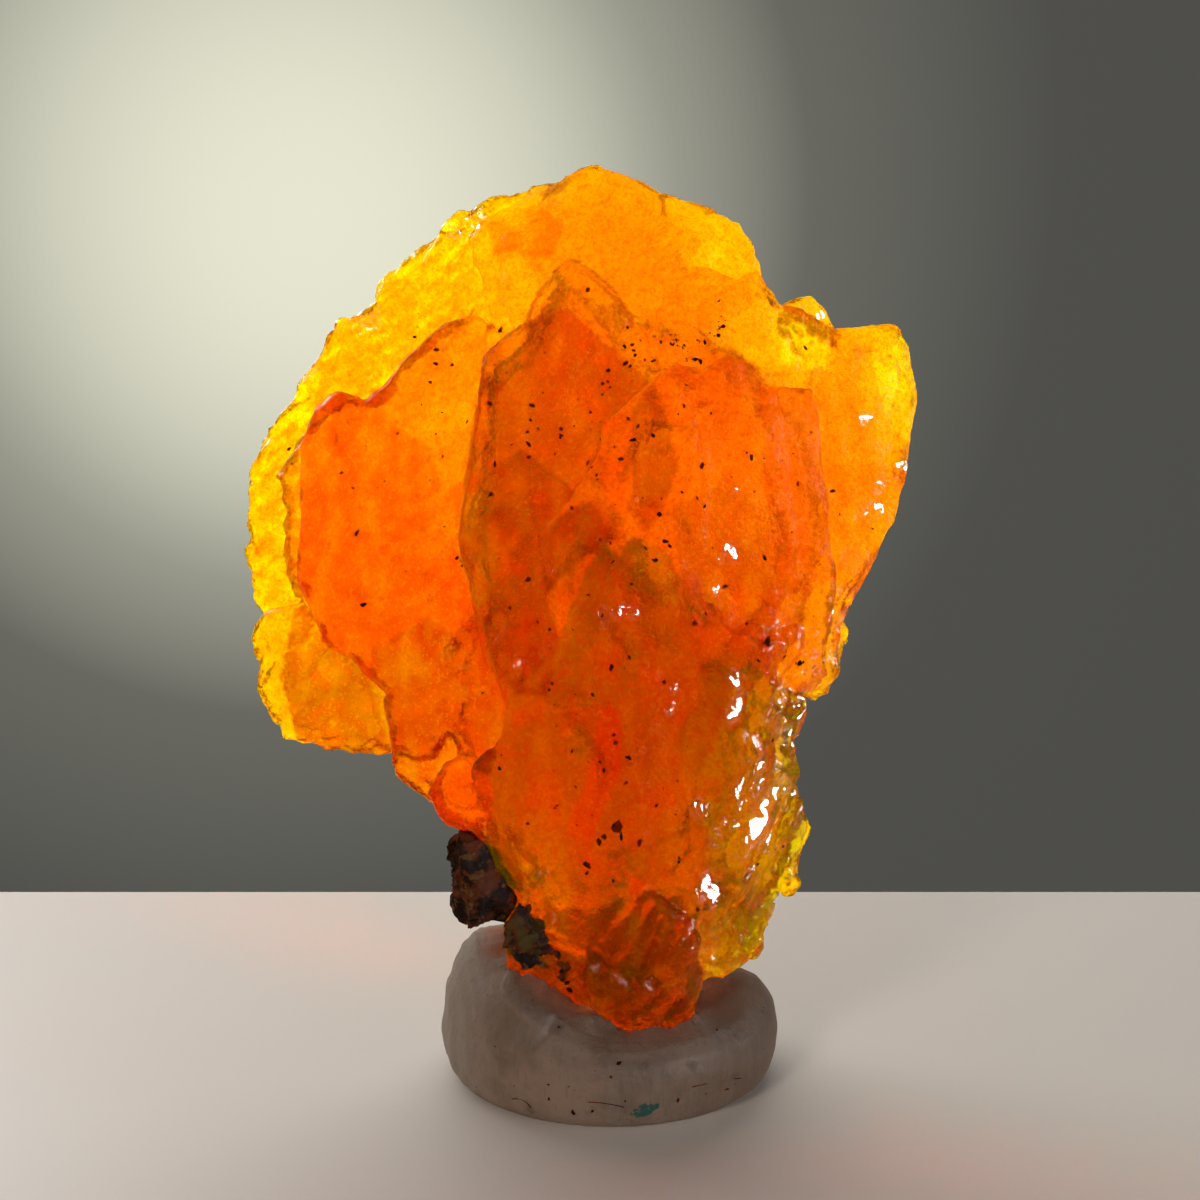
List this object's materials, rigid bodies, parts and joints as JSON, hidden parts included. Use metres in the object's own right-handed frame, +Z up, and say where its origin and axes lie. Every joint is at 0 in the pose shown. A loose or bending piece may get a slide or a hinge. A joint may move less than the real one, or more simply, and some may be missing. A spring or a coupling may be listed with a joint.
{
  "type": "wulfenite crystal cluster in mineral putty",
  "caption": "Cockscomb of intergrown orange and yellow wulfenite plates with a little dark matrix, standing upright in a pressed ring of grey mineral putty.",
  "frame": {"origin": "centre of the putty's flat underside", "axes": "+Z up, -Y towards the side the specimen is shown from, +X to that viewer's right"},
  "size_m": [0.0314, 0.0142, 0.041],
  "materials": {
    "wulfenite": "translucent orange to yellow crystal, glossy with a fine uneven relief",
    "limonite": "rough dark brown crust, stands in for iron oxide rock",
    "putty": "matt pale grey putty with faint creases"
  },
  "bodies": {
    "root": {"wulfenite_cluster": "wulfenite", "matrix_knob": "limonite", "matrix_chip": "limonite", "putty_base": "putty"}
  },
  "joints": []
}
